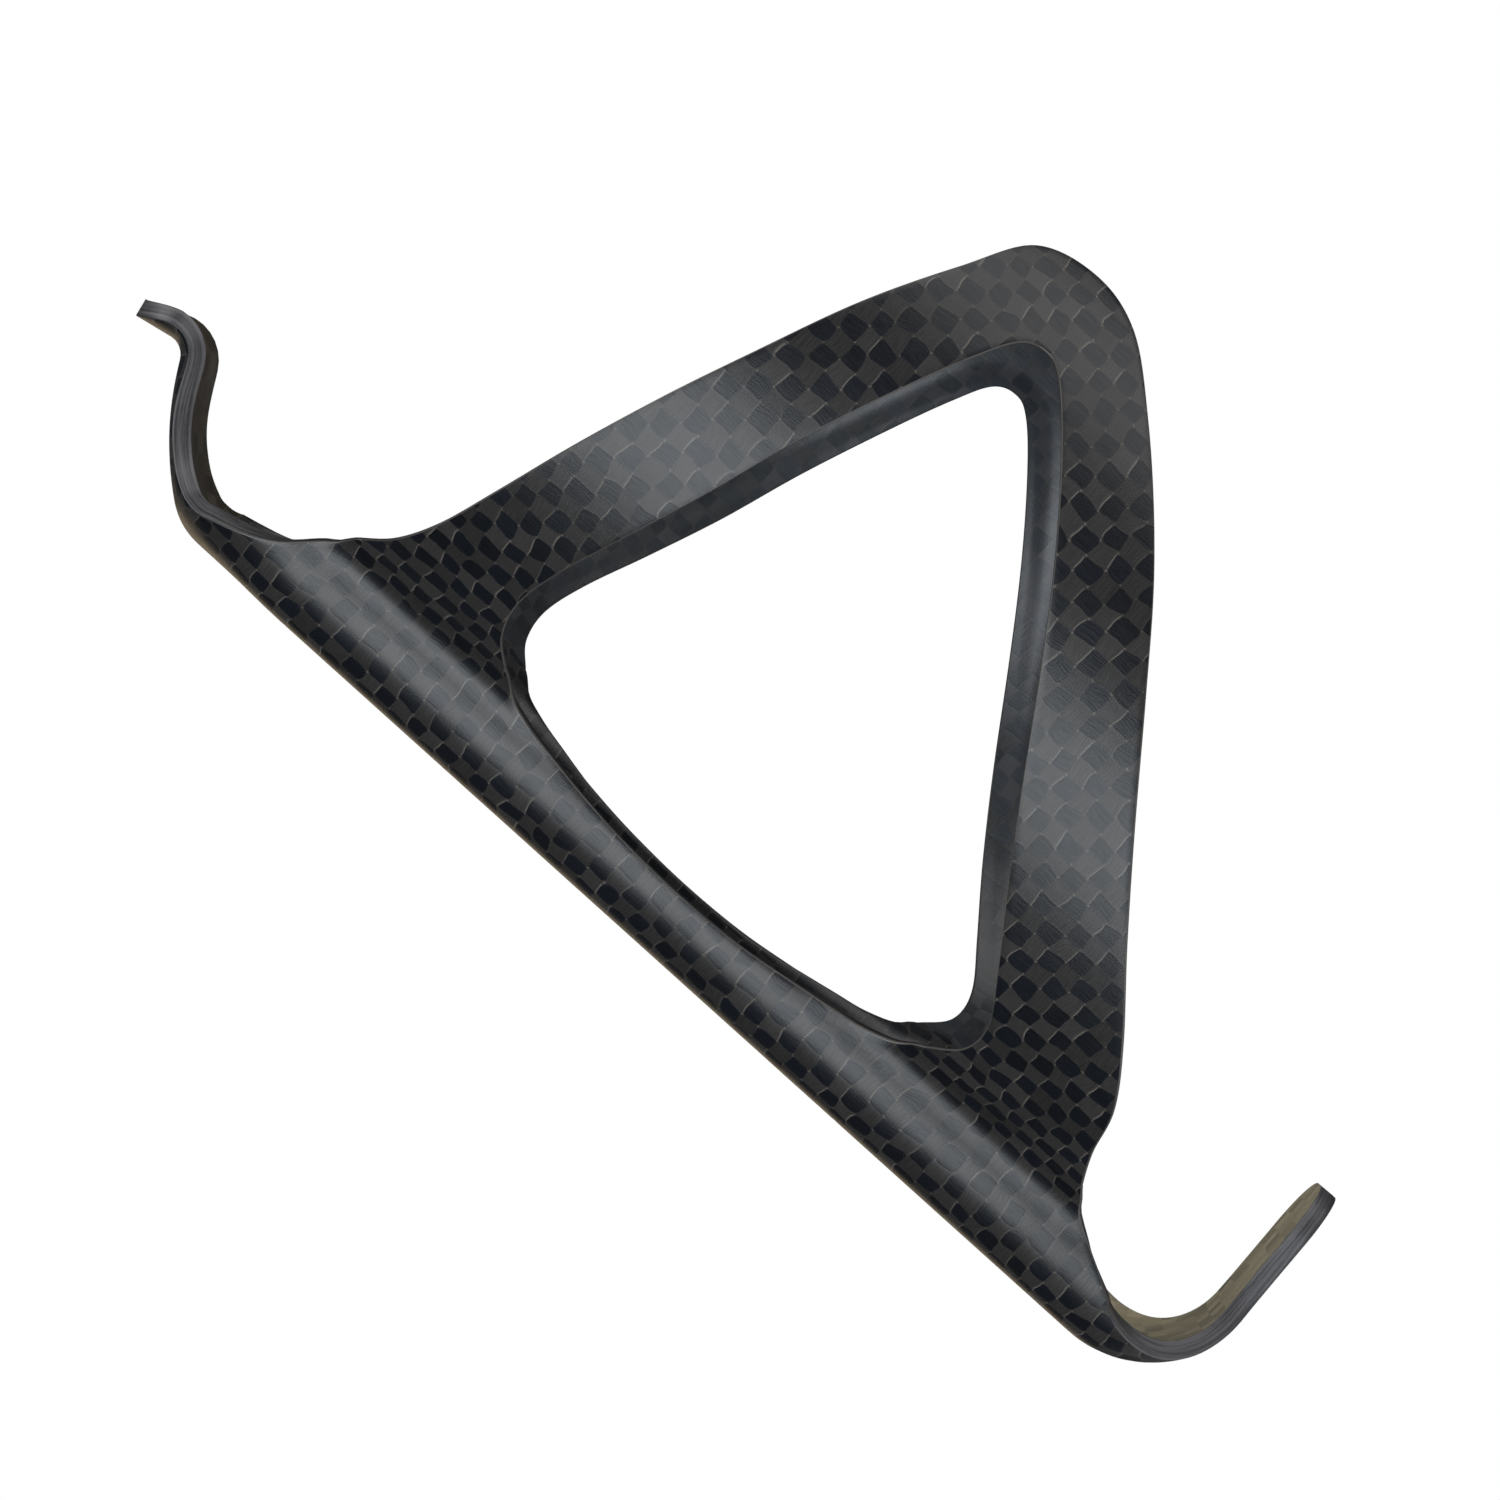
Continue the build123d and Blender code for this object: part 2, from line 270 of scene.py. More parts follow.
TONGUE_WIDTH = [(56.6, 11.4), (58.4, 10.4), (60.4, 9.1), (63.0, 7.8), (67.0, 6.9), (71.0, 6.6),
                (74.2, 6.4), (76.2, 5.8), (77.8, 4.5), (78.9, 2.8), (79.45, 1.0)]


def width_table():
    """The strip's outlines sampled as (p, half width), in order of p."""
    chain = []
    for points in (STOP_WIDTH, FOOT_CORNER, NOTCH, HEAD_CORNER, TONGUE_WIDTH):
        chain.append(curve_through(points, CURVE_STEPS))
    table = np.vstack(chain)
    return table[np.argsort(table[:, 0], kind="stable")]


WIDTHS = width_table()


def half_width(p):
    """Half width of the strip, with the stop's rounded tip and the wings' seams."""
    if p < STOP_TIP_P + STOP_TIP_R:
        over = STOP_TIP_R - (p - STOP_TIP_P)
        return STOP_HALF - STOP_TIP_R + math.sqrt(max(0.0, STOP_TIP_R ** 2 - over ** 2))
    return min(S_SEAM, float(np.interp(p, WIDTHS[:, 0], WIDTHS[:, 1])))


# ---- mesh of one layer of sheet ----
def layer_depth(limit, thickness):
    """Depth of one of a layer's faces below the outside of the sheet."""
    share, offset = limit
    return share * thickness + offset * min(1.0, thickness / PLY_FULL_T)


def rim_profile(near, far, thickness):
    """Steps (back from the edge, depth) round a cut edge, outside to inside."""
    turns = [math.radians(a) for a in RIM_TURNS]
    top = layer_depth(near, thickness)
    low = layer_depth(far, thickness)
    r = min(RIM_R, RIM_SHARE * (low - top))
    steps = [(0.0, top)]
    if top == 0.0:
        steps = [(r * (1 - math.sin(a)), r * (1 - math.cos(a))) for a in turns]
    if far == (1.0, 0.0):
        steps += [(r * (1 - math.cos(a)), low - r * (1 - math.sin(a))) for a in turns]
    else:
        steps.append((0.0, low))
    return steps


def layer_ring(left, right, rims, near, far, columns):
    """One closed ring round a layer at a row, as ((s, p), depth) from the outside's left."""
    left, right = np.array(left), np.array(right)
    across = np.linalg.norm(right - left)
    unit = (right - left) / max(across, 1e-6)
    pad_l = [(b * rims[0], d) for b, d in rim_profile(near, far, sheet_thickness(*left))]
    pad_r = [(b * rims[1], d) for b, d in rim_profile(near, far, sheet_thickness(*right))]
    room = min(1.0, RIM_ROOM * across / RIM_R)
    spread = np.linspace(0, 1, columns)
    ring = []
    top_l, top_r = pad_l[0][0] * room, pad_r[0][0] * room
    for t in spread:
        place = left + unit * (top_l + t * (across - top_l - top_r))
        ring.append((place, layer_depth(near, sheet_thickness(*place))))
    for back, depth in pad_r[1:-1]:
        ring.append((right - unit * back * room, depth))
    low_l, low_r = pad_l[-1][0] * room, pad_r[-1][0] * room
    for t in spread[::-1]:
        place = left + unit * (low_l + t * (across - low_l - low_r))
        ring.append((place, layer_depth(far, sheet_thickness(*place))))
    for back, depth in reversed(pad_l[1:-1]):
        ring.append((left + unit * back * room, depth))
    return ring


def ring_faces(rings, columns, inner):
    """Faces along the rings and over both ends, with 0 for cloth and 1 for cut edge."""
    n = 2 * (columns + inner)
    faces, kinds = [], []
    for i in range(rings - 1):
        for j in range(n):
            k = (j + 1) % n
            faces.append((i * n + j, i * n + k, (i + 1) * n + k, (i + 1) * n + j))
            on_top = j < columns - 1
            on_low = columns + inner <= j < 2 * columns + inner - 1
            kinds.append(0 if on_top or on_low else 1)
    for i in (0, rings - 1):
        for j in range(columns - 1):
            low = 2 * columns + inner - 1 - j
            quad = (i * n + j, i * n + j + 1, i * n + low - 1, i * n + low)
            faces.append(quad[::-1] if i == 0 else quad)
            kinds.append(1)
        for side in (columns - 1, 2 * columns + inner - 1):
            cap = [i * n + (side + m) % n for m in range(inner + 2)]
            if len(cap) > 2:
                faces.append(tuple(cap[::-1]) if i == 0 else tuple(cap))
                kinds.append(1)
    return faces, kinds


def build_layer(name, surface, rows, near, far, columns, mirrored=False):
    """Closed mesh of a layer.

    Each row is ((s, p) left edge, (s, p) right edge, rims), where rims says for both
    edges whether they are rounded (1) or run on into the next sheet (0).
    """
    verts, uvs, depths = [], [], []
    for left, right, rims in rows:
        for (s, p), depth in layer_ring(left, right, rims, near, far, columns):
            verts.append(surface(s, p) + inward(surface, s, p) * depth)
            uvs.append((s, p))
            depths.append((depth, p))
    verts = np.array(verts) * MM
    uvs = np.array(uvs)
    depths = np.array(depths)
    inner = len(rim_profile(near, far, SHEET_T)) - 2
    faces, kinds = ring_faces(len(rows), columns, inner)
    if mirrored:
        verts[:, 0] *= -1
        uvs[:, 0] *= -1
    else:
        faces = [f[::-1] for f in faces]
    mesh = bpy.data.meshes.new(name)
    mesh.from_pydata([tuple(v) for v in verts], [], faces)
    index = np.zeros(len(mesh.loops), dtype=np.int64)
    mesh.loops.foreach_get("vertex_index", index)
    for map_name, places in (("weave", uvs), ("rim", depths)):
        layer = mesh.uv_layers.new(name=map_name)
        layer.data.foreach_set("uv", (places[index] / UV_SPAN).ravel())
    for poly, kind in zip(mesh.polygons, kinds):
        poly.material_index = kind
        poly.use_smooth = True
    mesh.validate()
    mesh.set_sharp_from_angle(angle=SHARP_ANGLE)
    obj = bpy.data.objects.new(name, mesh)
    bpy.context.scene.collection.objects.link(obj)
    return obj


# ---- rows of each region ----
TIP_ROWS = 12
ROW_GAP = 0.2         # rows are never closer than this where the tip's rows begin
SEAM_SLACK = 0.01


def tip_spread(run):
    """Distances from a rounded tip, closer together towards it."""
    return run * (1 - np.cos(np.linspace(0, math.pi / 2, TIP_ROWS)))


def strip_rows(low, high, step):
    """Rows of the channel strip from p = low to p = high."""
    count = round((high - low) / step)
    places = np.linspace(low, high, count + 1)
    if low == STOP_TIP_P:
        near_tip = low + tip_spread(STOP_TIP_R)
        places = np.concatenate([near_tip, places[places > near_tip[-1] + ROW_GAP]])
    if high == TONGUE_TIP_P:
        near_tip = high - tip_spread(TONGUE_TIP_RUN)[::-1]
        places = np.concatenate([places[places < near_tip[0] - ROW_GAP], near_tip])
    rows = []
    for p in places:
        half = half_width(p)
        rim = 0.0 if half > S_SEAM - SEAM_SLACK else 1.0
        rows.append(((-half, p), (half, p), (rim, rim)))
    return rows


# Ribs of a wing from the upper root round the apex to the lower root: the
# outer edge and the window edge, each as (angle round the bottle, height).
RIBS = [((25.0, 42.9), (25.0, 25.2)), ((32.0, 40.3), (31.5, 27.2)),
        ((41.5, 37.9), (40.0, 27.9)), ((53.0, 35.7), (49.8, 26.8)),
        ((66.0, 33.1), (61.5, 24.3)), ((79.5, 29.9), (74.0, 21.4)),
        ((92.5, 26.4), (86.5, 18.7)), ((105.8, 22.8), (99.0, 15.5)),
        ((119.5, 18.5), (110.5, 12.3)), ((131.0, 14.8), (116.9, 10.1)),
        ((134.4, 9.2), (118.5, 7.8)), ((131.6, 3.7), (116.9, 5.6)),
        ((121.5, -2.7), (110.5, 1.8)), ((105.8, -11.7), (99.0, -4.1)),
        ((92.5, -18.5), (86.5, -9.9)), ((79.5, -25.1), (74.0, -15.3)),
        ((66.5, -31.8), (61.5, -20.6)), ((54.5, -37.9), (49.5, -25.5)),
        ((44.5, -41.7), (40.5, -28.4)), ((34.5, -43.3), (32.5, -28.5)),
        ((25.0, -45.2), (25.0, -26.0))]
ROWS_PER_RIB = 12


def wing_edge(side):
    """Developed curve of a wing's outer (0) or window (1) edge."""
    return curve_through([(s_on_wing(rib[side][0]), rib[side][1]) for rib in RIBS], ROWS_PER_RIB)


def wing_rows():
    """Rows of the left wing, each from its outer edge to its window edge."""
    return [(tuple(o), tuple(w), (1.0, 1.0)) for o, w in zip(wing_edge(0), wing_edge(1))]


# ---- thickness ----
def trimmed_edges():
    """Ends of the short straights that make up the outlines near the wings."""
    chains = [wing_edge(0), wing_edge(1)]
    for points in (FOOT_CORNER, NOTCH, HEAD_CORNER):
        chains.append(curve_through([(s, p) for p, s in points], CURVE_STEPS))
    return np.vstack([c[:-1] for c in chains]), np.vstack([c[1:] for c in chains])


EDGE_FROM, EDGE_TO = trimmed_edges()
EDGE_RUN = EDGE_TO - EDGE_FROM


def edge_distance(s, p):
    """Distance in the sheet to the nearest trimmed edge near the wings."""
    place = np.array((abs(s), p))
    share = ((place - EDGE_FROM) * EDGE_RUN).sum(axis=1) / (EDGE_RUN ** 2).sum(axis=1)
    gap = place - EDGE_FROM - np.clip(share, 0, 1)[:, None] * EDGE_RUN
    return math.sqrt((gap ** 2).sum(axis=1).min())


def sheet_thickness(s, p):
    """Full in the channel, thinner in the wings, ground down at the wings' edges."""
    thinned = smooth_step(abs(s), S_WALL - THIN_LEAD, S_SEAM - THIN_LEAD)
    if thinned == 0:
        return SHEET_T
    full = SHEET_T + (WING_T - SHEET_T) * thinned
    ground = thinned * (1 - smooth_step(edge_distance(s, p), 0.0, FEATHER))
    return full + (FEATHER_T - full) * ground


# ---- materials ----
TOW = 1.95            # width of a woven tow
# Hand-laid cloth is never quite straight: (mm of shift, noise frequency per mm).
DRIFT = (3.2, 0.045)
WOBBLE = (1.3, 0.30)
# Fibre streaks in the tows: frequency per mm across the fibres and along them.
FIBRE_ACROSS = 7.0
FIBRE_ALONG = 0.5
TOW_STREAK = 0.7      # how strongly the streaks lighten a tow
TOW_SHADE = (0.40, 0.55)  # least shade of a tow, and how much more it may have by chance
# A warp float's outline is where out_u to one power plus out_v to the other, and a
# little noise, pass these values: the float is whole at the second, gone at the first.
FLOAT_POWERS = (6.0, 4.0)
FLOAT_EDGE = (1.48, 1.05)
FRAY = (0.5, 2.2)     # amount, and frequency per mm
BUMP_DEPTH = 0.0001   # metres
END_EASE = (45.0, 54.0)   # the cut edges turn grey between these distances along p


def new_material(name):
    """Material with one shader, as (material, node tree, shader)."""
    material = bpy.data.materials.new(name)
    material.use_nodes = True
    tree = material.node_tree
    tree.nodes.clear()
    output = tree.nodes.new("ShaderNodeOutputMaterial")
    shader = tree.nodes.new("ShaderNodeBsdfPrincipled")
    tree.links.new(shader.outputs[0], output.inputs[0])
    return material, tree, shader


def feed(tree, socket, value):
    """Set a socket to a plain value, or link it to another node's output."""
    if isinstance(value, (int, float, tuple)):
        socket.default_value = value
    else:
        tree.links.new(value, socket)


def math_node(tree, operation, a, b=None):
    node = tree.nodes.new("ShaderNodeMath")
    node.operation = operation
    feed(tree, node.inputs[0], a)
    if b is not None:
        feed(tree, node.inputs[1], b)
    return node.outputs[0]


def mix_colour(tree, factor, a, b):
    node = tree.nodes.new("ShaderNodeMix")
    node.data_type = "RGBA"
    for socket, value in ((node.inputs[0], factor), (node.inputs[6], a), (node.inputs[7], b)):
        feed(tree, socket, value)
    return node.outputs[2]


def scale_colour(tree, colour, factor):
    """A plain colour made lighter or darker by a node's output."""
    node = tree.nodes.new("ShaderNodeVectorMath")
    node.operation = "SCALE"
    node.inputs[0].default_value = colour[:3]
    tree.links.new(factor, node.inputs["Scale"])
    return node.outputs[0]


def ramp(tree, value, low, high):
    """0 at low, 1 at high, smooth between; low may be above high."""
    node = tree.nodes.new("ShaderNodeMapRange")
    node.interpolation_type = "SMOOTHSTEP"
    node.inputs["From Min"].default_value = min(low, high)
    node.inputs["From Max"].default_value = max(low, high)
    node.inputs["To Min"].default_value = 0.0 if low < high else 1.0
    node.inputs["To Max"].default_value = 1.0 if low < high else 0.0
    tree.links.new(value, node.inputs["Value"])
    return node.outputs["Result"]


def combine(tree, x, y, z=0.0):
    node = tree.nodes.new("ShaderNodeCombineXYZ")
    for socket, value in zip(node.inputs, (x, y, z)):
        feed(tree, socket, value)
    return node.outputs[0]


def stretched_noise(tree, x, y, x_scale, y_scale, seed, detail=2.0):
    """Noise over two lengths in mm, with its own frequency along each."""
    place = combine(tree, math_node(tree, "MULTIPLY", x, x_scale),
                    math_node(tree, "MULTIPLY", y, y_scale), seed)
    node = tree.nodes.new("ShaderNodeTexNoise")
    node.inputs["Scale"].default_value = 1.0
    node.inputs["Detail"].default_value = detail
    tree.links.new(place, node.inputs["Vector"])
    return node.outputs["Fac"]


def in_millimetres(tree, map_name):
    """The two coordinates of a UV map in millimetres."""
    uv = tree.nodes.new("ShaderNodeUVMap")
    uv.uv_map = map_name
    split = tree.nodes.new("ShaderNodeSeparateXYZ")
    tree.links.new(uv.outputs[0], split.inputs[0])
    return [math_node(tree, "MULTIPLY", split.outputs[i], UV_SPAN) for i in (0, 1)]


def add_bump(tree, shader, height, strength):
    bump = tree.nodes.new("ShaderNodeBump")
    bump.inputs["Strength"].default_value = strength
    bump.inputs["Distance"].default_value = BUMP_DEPTH
    tree.links.new(height, bump.inputs["Height"])
    tree.links.new(bump.outputs[0], shader.inputs["Normal"])


def from_middle(tree, fraction):
    """0 in the middle of a cell, 1 at its sides."""
    doubled = math_node(tree, "MULTIPLY", fraction, 2.0)
    return math_node(tree, "ABSOLUTE", math_node(tree, "SUBTRACT", doubled, 1.0))


def wander(tree, s, p, place, seeds):
    """One coordinate of the cloth, shifted by slow drift and quicker wobble."""
    shifts = []
    for (size, scale), seed in zip((DRIFT, WOBBLE), seeds):
        noise = stretched_noise(tree, s, p, scale, scale, seed, 1.0)
        shifts.append(math_node(tree, "MULTIPLY", noise, size))
    return math_node(tree, "ADD", place, math_node(tree, "ADD", *shifts))


def tow_colour(tree, colour, shade, fibres):
    """Colour of a tow, with its own shade and its fibres' streaks."""
    streaks = math_node(tree, "MULTIPLY", fibres, TOW_STREAK)
    return scale_colour(tree, colour, math_node(tree, "ADD", shade, streaks))


def weave_material(name, warp_colour, weft_colour, line_colour):
    """Plain weave: rounded warp floats that lie on a lighter weft; the weft's extra lightness is
    a painted reflection of how the two fibre directions catch the light.
    """
    material, tree, shader = new_material(name)
    flat_s, flat_p = in_millimetres(tree, "weave")
    s = wander(tree, flat_s, flat_p, flat_s, (0.0, 13.0))
    p = wander(tree, flat_s, flat_p, flat_p, (7.0, 17.0))
    u = math_node(tree, "DIVIDE", s, TOW)
    v = math_node(tree, "DIVIDE", p, TOW)
    column = math_node(tree, "FLOOR", u)
    row = math_node(tree, "FLOOR", v)
    warp = math_node(tree, "PINGPONG", math_node(tree, "ADD", column, row), 1.0)
    along = math_node(tree, "FRACT", v)
    out_u = from_middle(tree, math_node(tree, "FRACT", u))
    out_v = from_middle(tree, along)
    lozenge = math_node(tree, "ADD", math_node(tree, "POWER", out_u, FLOAT_POWERS[0]),
                        math_node(tree, "POWER", out_v, FLOAT_POWERS[1]))
    fray = stretched_noise(tree, s, p, FRAY[1], FRAY[1], 11.0)
    lozenge = math_node(tree, "ADD", lozenge, math_node(tree, "MULTIPLY", fray, FRAY[0]))
    float_mask = math_node(tree, "MULTIPLY", warp, ramp(tree, lozenge, *FLOAT_EDGE))
    warp_fibres = stretched_noise(tree, s, p, FIBRE_ACROSS, FIBRE_ALONG, 3.0)
    weft_fibres = stretched_noise(tree, s, p, FIBRE_ALONG, FIBRE_ACROSS, 5.0)
    random = tree.nodes.new("ShaderNodeTexWhiteNoise")
    random.noise_dimensions = "2D"
    tree.links.new(combine(tree, column, row), random.inputs["Vector"])
    own = random.outputs["Value"]
    shade = math_node(tree, "ADD", TOW_SHADE[0],
                      math_node(tree, "MULTIPLY", own, TOW_SHADE[1]))
    # Weft painted lighter than warp: painted reflection standing in for the two fibre directions
    # catching the light differently.
    weft = tow_colour(tree, weft_colour, shade, weft_fibres)
    dark = tow_colour(tree, warp_colour, shade, warp_fibres)
    colour = mix_colour(tree, float_mask, weft, dark)
    # A line of clear resin shows at the end of a weft float, and in some corners.
    line = math_node(tree, "MULTIPLY", ramp(tree, along, 0.11, 0.02),
                     ramp(tree, out_u, 0.95, 0.6))
    line = math_node(tree, "MULTIPLY", line, math_node(tree, "SUBTRACT", 1.0, warp))
    corner = ramp(tree, math_node(tree, "ADD", out_u, out_v), 1.80, 1.93)
    resin = math_node(tree, "MAXIMUM", line, corner)
    resin = math_node(tree, "MULTIPLY", resin, ramp(tree, own, 0.15, 0.8))
    colour = mix_colour(tree, resin, colour, line_colour)
    tree.links.new(colour, shader.inputs["Base Color"])
    fibres = mix_colour(tree, float_mask, weft_fibres, warp_fibres)
    crown = math_node(tree, "SUBTRACT", 1.0, math_node(tree, "MULTIPLY", lozenge, 0.6))
    height = math_node(tree, "ADD", math_node(tree, "MULTIPLY", crown, 0.35),
                       math_node(tree, "MULTIPLY", fibres, 0.45))
    add_bump(tree, shader, height, 0.28)
    rough = math_node(tree, "ADD", 0.26, math_node(tree, "MULTIPLY", fibres, 0.20))
    tree.links.new(rough, shader.inputs["Roughness"])
    return material


def edge_material(name, dark, light, coat, ends):
    """Trimmed edge with streaks from dark to light; near the strip's ends light is `ends`."""
    material, tree, shader = new_material(name)
    depth, p = in_millimetres(tree, "rim")
    streaks = stretched_noise(tree, depth, p, 3.4, 0.10, 1.0, 3.0)
    grain = stretched_noise(tree, depth, p, 6.0, 1.6, 9.0, 3.0)
    lines = math_node(tree, "MULTIPLY", ramp(tree, streaks, 0.33, 0.66), 0.65)
    blend = math_node(tree, "ADD", lines, math_node(tree, "MULTIPLY", grain, 0.35))
    near_end = ramp(tree, math_node(tree, "ABSOLUTE", p), *END_EASE)
    light = mix_colour(tree, near_end, light, ends)
    tree.links.new(mix_colour(tree, blend, dark, light), shader.inputs["Base Color"])
    rough = math_node(tree, "ADD", 0.36, math_node(tree, "MULTIPLY", grain, 0.2))
    tree.links.new(rough, shader.inputs["Roughness"])
    add_bump(tree, shader, blend, 0.25)
    shader.inputs["Coat Weight"].default_value = coat
    shader.inputs["Coat Roughness"].default_value = 0.25
    return material


# Cloths: outside and channel, inside of the wings, of the tongue and of the stop.
# In every cloth the weft is lighter than the warp: painted reflection, since both are the same
# black fibre.
CLOTH = weave_material(
    "carbon_weave", (0.0030, 0.0042, 0.0070, 1), (0.027, 0.0250, 0.024, 1),
    (0.12, 0.11, 0.095, 1))
SEAT_CLOTH = weave_material(
    "carbon_weave_seat", (0.024, 0.028, 0.033, 1), (0.036, 0.037, 0.040, 1),
    (0.04, 0.04, 0.04, 1))
SMOKED_CLOTH = weave_material(
    "carbon_smoked", (0.054, 0.043, 0.030, 1), (0.069, 0.056, 0.040, 1),
    (0.07, 0.06, 0.045, 1))
OLIVE_CLOTH = weave_material(
    "carbon_resin_rich", (0.31, 0.27, 0.18, 1), (0.36, 0.315, 0.21, 1),
    (0.37, 0.32, 0.22, 1))
BLACK = (0.003, 0.003, 0.004, 1)
SOOT = (0.010, 0.011, 0.014, 1)
ASH = (0.020, 0.019, 0.018, 1)
GREY = (0.125, 0.118, 0.122, 1)
# The outer ply's cut edge streaks from ash to pale: partly the ply's own streaks, partly a
# painted highlight along the rounded outer edge.
PALE_HIGHLIGHT = (0.11, 0.10, 0.09, 1)
DARK_EDGE = edge_material("edge_dark", BLACK, ASH, 0.3, GREY)
HIGHLIGHT_LINE_EDGE = edge_material("edge_highlight_line", ASH, PALE_HIGHLIGHT, 0.4, GREY)
CUT_EDGE = edge_material("edge_cut", SOOT, GREY, 0.2, GREY)


# ---- pieces ----
OPEN_ENDS = ("tongue", "bottle_stop")     # their wide cut edges are left grey
SLOT_ARC_STEPS = 24
CUTTER_SPARE = 1.0    # how far a slot's cutter stands out on both sides
WING_COLUMNS = 18
# Regions of the strip: both ends along p, the rows' spacing in mm, and the columns.
STRIP_REGIONS = {
    "bottle_stop": (STOP_TIP_P, FLOOR_Z, 0.6, 24),
    "spine": (FLOOR_Z, TONGUE_Z, 0.5, 60),
    "tongue": (TONGUE_Z, TONGUE_TIP_P, 0.4, 24),
}
# Cloth of the inner ply where it differs from the outside: tongue, stop and both wings.
INSIDE_CLOTH = {"tongue": SMOKED_CLOTH, "bottle_stop": OLIVE_CLOTH, "wing_left": SEAT_CLOTH,
                "wing_right": SEAT_CLOTH}


def cloth_of(region, layer):
    return INSIDE_CLOTH.get(region, CLOTH) if layer == "inner_ply" else CLOTH


def edge_of(region, layer):
    if region in OPEN_ENDS:
        return CUT_EDGE
    # The outer ply gets the paler edge: a painted highlight along the sheet's outer corner, with
    # the ply's own streaks.
    return HIGHLIGHT_LINE_EDGE if layer == "outer_ply" else DARK_EDGE


def dress(obj, region, layer):
    """Give a sheet its materials, and let it stand in for its CAD node."""
    obj.data.materials.append(cloth_of(region, layer))
    obj.data.materials.append(edge_of(region, layer))
    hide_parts(region + "_" + layer)


def slot_outline():
    """One bolt slot in the plane of the back, as (x, z)."""
    reach = BOLT_SLOT / 2 - BOLT_HOLE_R
    points = []
    for end in (1, -1):
        for turn in np.linspace(0, math.pi, SLOT_ARC_STEPS):
            points.append((end * BOLT_HOLE_R * math.cos(turn),
                           end * (reach + BOLT_HOLE_R * math.sin(turn))))
    return points


def slot_cutter():
    """Both bolt slots as prisms through the back of the channel."""
    outline = slot_outline()
    count = len(outline)
    verts, faces = [], []
    for z in (-BOLT_PITCH / 2, BOLT_PITCH / 2):
        base = len(verts)
        for y in (-CUTTER_SPARE, SHEET_T + CUTTER_SPARE):
            verts += [(x * MM, y * MM, (z + dz) * MM) for x, dz in outline]
        near = [base + i for i in range(count)]
        faces.append(near)
        faces.append([i + count for i in reversed(near)])
        for i, a in enumerate(near):
            b = near[(i + 1) % count]
            faces.append([b, a, a + count, b + count])
    mesh = bpy.data.meshes.new("slot_cutter")
    mesh.from_pydata(verts, [], faces)
    for poly in mesh.polygons:
        poly.material_index = 1
    cutter = bpy.data.objects.new("slot_cutter", mesh)
    bpy.context.scene.collection.objects.link(cutter)
    return cutter


def cut_bolt_slots(obj):
    """Cut both slots through a layer of the spine, for good."""
    cutter = slot_cutter()
    boolean = obj.modifiers.new("slots", "BOOLEAN")
    boolean.operation = "DIFFERENCE"
    boolean.solver = "EXACT"
    boolean.object = cutter
    bpy.context.view_layer.objects.active = obj
    bpy.ops.object.modifier_apply(modifier=boolean.name)
    bpy.data.meshes.remove(cutter.data)
    obj.data.set_sharp_from_angle(angle=SHARP_ANGLE)


def build_strip(layer):
    """One layer of the stop, the spine and the tongue."""
    near, far = LAYERS[layer]
    for region, (low, high, step, columns) in STRIP_REGIONS.items():
        name = region + "_" + layer + "_sheet"
        rows = strip_rows(low, high, step)
        obj = build_layer(name, strip_point, rows, near, far, columns)
        dress(obj, region, layer)
        if region == "tongue":
            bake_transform(obj)
        else:
            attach(obj, "spine")
        if region == "spine":
            cut_bolt_slots(obj)


def build_wings(layer):
    """One layer of both wings, which are mirror images."""
    near, far = LAYERS[layer]
    rows = wing_rows()
    for side, sign in (("left", 1), ("right", -1)):
        name = "wing_" + side + "_" + layer + "_sheet"
        obj = build_layer(name, wing_point, rows, near, far, WING_COLUMNS, mirrored=sign < 0)
        dress(obj, "wing_" + side, layer)
        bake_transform(obj)


for layer_name in LAYERS:
    build_strip(layer_name)
    build_wings(layer_name)


# ---- camera ----
CAMERA_AT = Vector((0.498, 0.0285, 0.0039))
CAMERA_TO = Vector((0.0, 0.0202, 0.0038))
CAMERA_UP = Vector((0.0, 0.743, 0.669))
LENS = 127.3
SENSOR = 36.0


def add_camera():
    """Camera beside the left wing, turned so that the bottle's axis leans."""
    data = bpy.data.cameras.new("camera")
    data.lens = LENS
    data.sensor_width = SENSOR
    data.clip_start = 0.01
    camera = bpy.data.objects.new("camera", data)
    bpy.context.scene.collection.objects.link(camera)
    back = (CAMERA_AT - CAMERA_TO).normalized()
    right = CAMERA_UP.cross(back).normalized()
    up = back.cross(right)
    camera.matrix_world = Matrix((
        (right.x, up.x, back.x, CAMERA_AT.x), (right.y, up.y, back.y, CAMERA_AT.y),
        (right.z, up.z, back.z, CAMERA_AT.z), (0, 0, 0, 1)))
    bpy.context.scene.camera = camera


add_camera()


# ---- studio ----
COOL = (0.90, 0.95, 1.0)
NEUTRAL = (1.0, 1.0, 1.0)
WARM = (1.0, 0.78, 0.50)
ROOM_COLOUR = (0.9, 0.95, 1.0, 1)
ROOM_LIGHT = 0.05
FLOOR_SIZE = 1.1
FLOOR_HEIGHT = -0.36
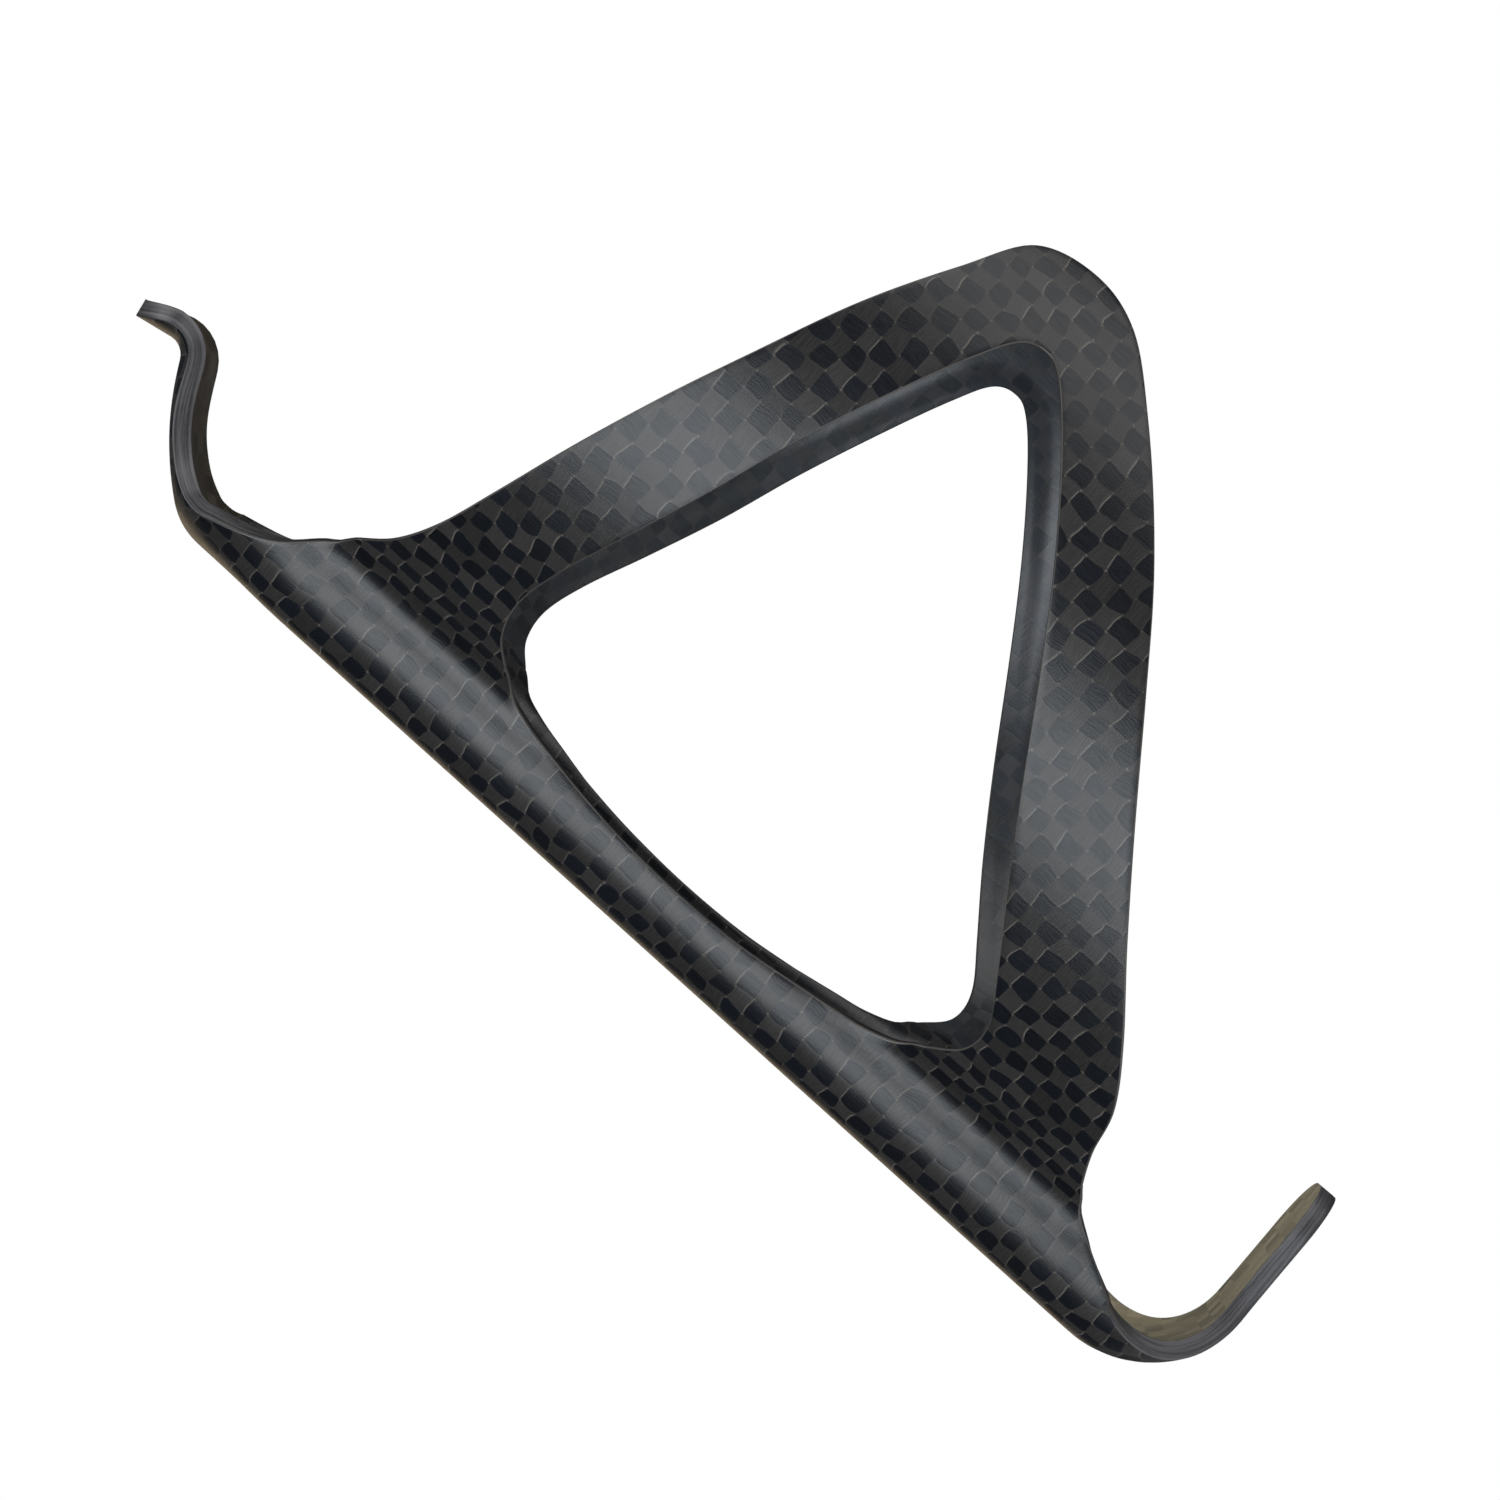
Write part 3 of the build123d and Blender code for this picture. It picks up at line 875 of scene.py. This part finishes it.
# Soft lights that face the origin: place, size (m), power (W) and colour.
LIGHTS = {
    "key": ((0.72, -0.33, 0.08), (0.66, 0.60), 5.6, COOL),
    "fill": ((0.30, 0.75, 0.15), (0.60, 0.60), 2.2, NEUTRAL),
    "top": ((0.20, 0.10, 0.75), (0.50, 0.50), 2.4, NEUTRAL),
    "rim": ((-0.75, -0.33, 0.05), (0.30, 0.50), 0.35, WARM),
}


def soft_light(name, place, size, power, colour):
    """Rectangular light that faces the origin."""
    data = bpy.data.lights.new(name, "AREA")
    data.color = colour
    data.shape = "RECTANGLE"
    data.size, data.size_y = size
    data.energy = power
    light = bpy.data.objects.new(name, data)
    light.location = place
    light.visible_camera = False
    light.rotation_euler = Vector(place).to_track_quat("Z", "Y").to_euler()
    bpy.context.scene.collection.objects.link(light)


def add_world():
    """Dim even light from the room; straight behind the cage all is plain white."""
    world = bpy.data.worlds.new("studio")
    world.use_nodes = True
    tree = world.node_tree
    tree.nodes.clear()
    output = tree.nodes.new("ShaderNodeOutputWorld")
    backdrop = tree.nodes.new("ShaderNodeBackground")
    backdrop.inputs["Color"].default_value = (1, 1, 1, 1)
    room = tree.nodes.new("ShaderNodeBackground")
    room.inputs["Color"].default_value = ROOM_COLOUR
    room.inputs["Strength"].default_value = ROOM_LIGHT
    path = tree.nodes.new("ShaderNodeLightPath")
    mix = tree.nodes.new("ShaderNodeMixShader")
    tree.links.new(path.outputs["Is Camera Ray"], mix.inputs[0])
    tree.links.new(room.outputs[0], mix.inputs[1])
    tree.links.new(backdrop.outputs[0], mix.inputs[2])
    tree.links.new(mix.outputs[0], output.inputs[0])
    bpy.context.scene.world = world


def add_floor():
    """Pale plain floor below the cage."""
    bpy.ops.mesh.primitive_plane_add(size=FLOOR_SIZE, location=(0, 0, FLOOR_HEIGHT))
    floor = bpy.context.object
    floor.name = "floor"
    material, _, shader = new_material("floor")
    shader.inputs["Base Color"].default_value = (0.85, 0.85, 0.85, 1)
    shader.inputs["Roughness"].default_value = 0.8
    floor.data.materials.append(material)


add_world()
for light_name, light_values in LIGHTS.items():
    soft_light(light_name, *light_values)
add_floor()
bpy.context.scene.view_settings.view_transform = "Standard"
